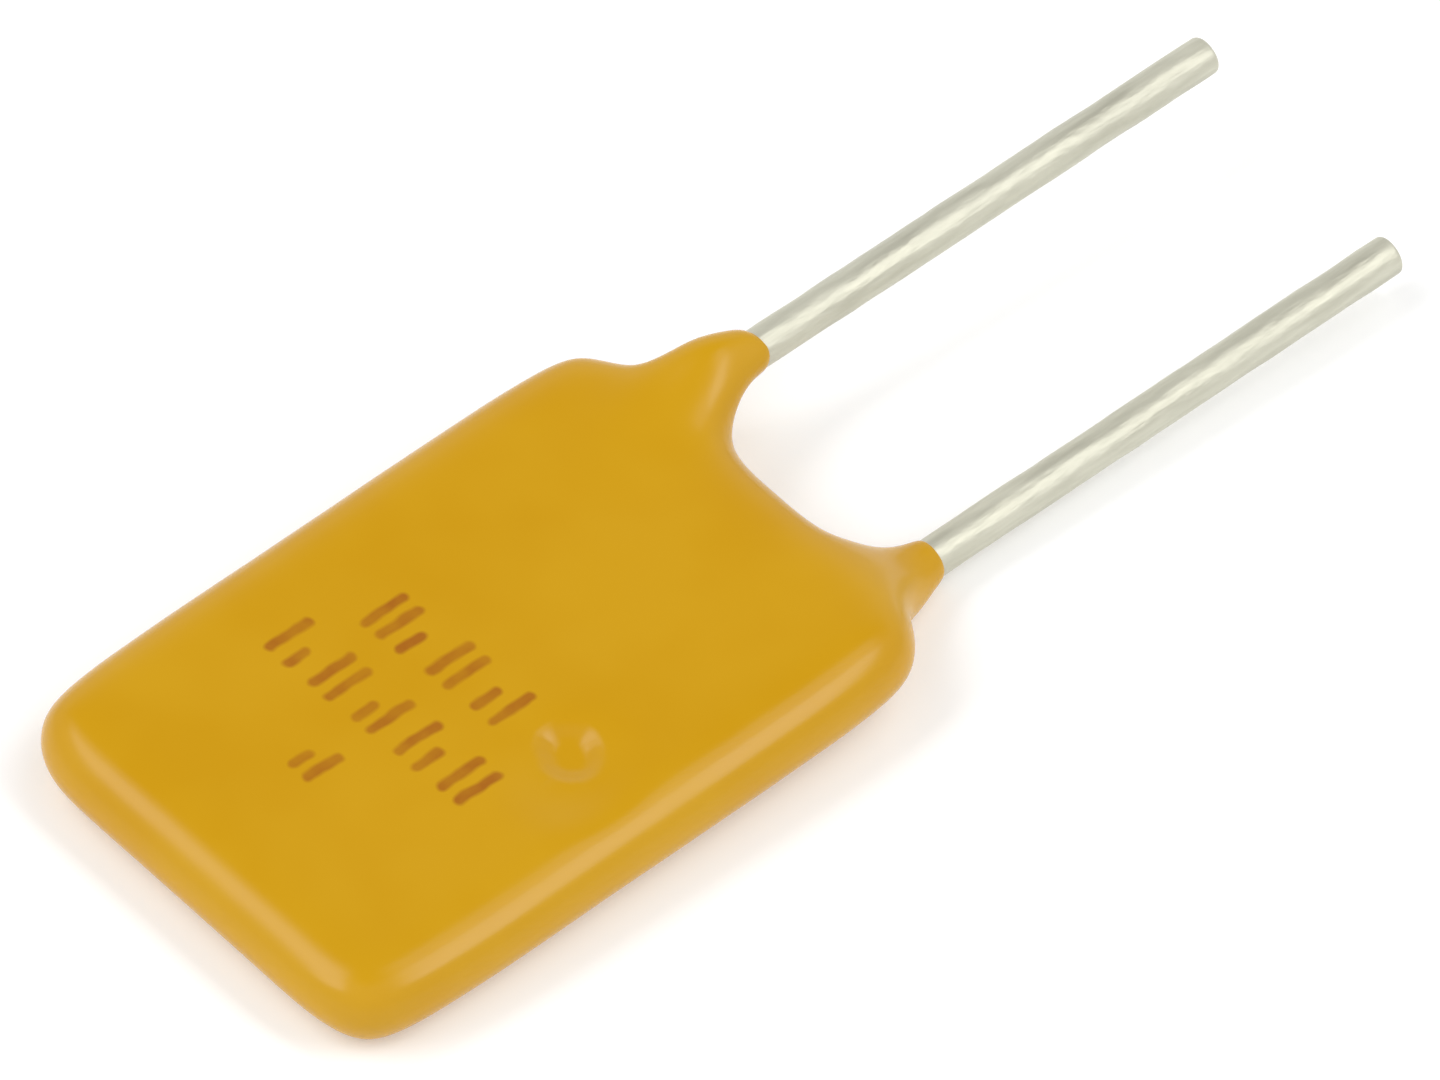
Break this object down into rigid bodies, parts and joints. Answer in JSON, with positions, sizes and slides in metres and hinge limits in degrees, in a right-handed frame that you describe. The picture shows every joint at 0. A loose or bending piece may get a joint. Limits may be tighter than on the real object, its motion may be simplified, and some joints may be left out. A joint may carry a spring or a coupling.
{
  "type": "resettable fuse",
  "caption": "Radial-leaded resettable fuse: a flat yellow epoxy-dipped body with straight tinned wire leads from its top edge.",
  "frame": {"origin": "middle of the flat back of the dipped body, where its centre lines cross", "axes": "+Z out of the printed front face, +Y along the wires towards their tips, +X to the right of the face with the wires up"},
  "size_m": [0.01, 0.0273, 0.0025],
  "materials": {
    "yellow_epoxy": "smooth semi-gloss dip",
    "filled_polymer": "matt black",
    "nickel_foil": "dull nickel",
    "tinned_copper": "drawn bright tin",
    "solder": "satin"
  },
  "bodies": {
    "root": {"coating": "yellow_epoxy", "ptc_chip": "filled_polymer", "front_foil": "nickel_foil", "back_foil": "nickel_foil", "front_lead": "tinned_copper", "back_lead": "tinned_copper", "front_solder": "solder", "back_solder": "solder"}
  },
  "joints": []
}
